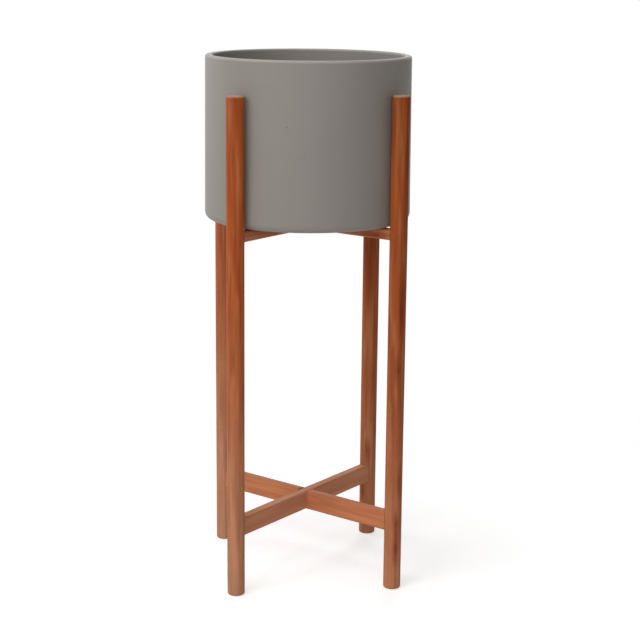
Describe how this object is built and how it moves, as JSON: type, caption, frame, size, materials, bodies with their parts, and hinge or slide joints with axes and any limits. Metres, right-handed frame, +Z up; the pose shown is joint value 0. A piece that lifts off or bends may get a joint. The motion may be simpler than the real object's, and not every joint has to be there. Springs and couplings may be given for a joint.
{
  "type": "planter with stand",
  "caption": "Cylindrical plant pot with a rounded rim, held between round wooden legs joined by halved cross bars under the pot and near the floor.",
  "frame": {"origin": "on the floor, under the pot's axis", "axes": "+Z up along the pot's axis; the legs stand towards the corners of a square whose sides run along X and Y; -Y is the side that faces the viewer of the picture"},
  "size_m": [0.2134, 0.2134, 0.55],
  "materials": {
    "pot_ceramic": "matte",
    "stopper_rubber": "matte",
    "leg_wood": "satin",
    "bar_wood": "satin",
    "dowel_wood": "matte"
  },
  "bodies": {
    "stand": {"leg_front_left": "leg_wood", "leg_front_right": "leg_wood", "leg_back_right": "leg_wood", "leg_back_left": "leg_wood", "lower_bar_over": "bar_wood", "lower_bar_under": "bar_wood", "upper_bar_over": "bar_wood", "upper_bar_under": "bar_wood", "lower_dowels": "dowel_wood", "upper_dowels": "dowel_wood"},
    "pot": {"pot": "pot_ceramic"},
    "stopper": {"drain_stopper": "stopper_rubber"}
  },
  "joints": [
    {"name": "pot_lift", "type": "slide", "parent": "stand", "child": "pot", "axis": [0, 0, 1], "range_m": [0, 0.18]},
    {"name": "stopper_pull", "type": "slide", "parent": "pot", "child": "stopper", "axis": [0, 0, 1], "range_m": [0, 0.2]}
  ]
}
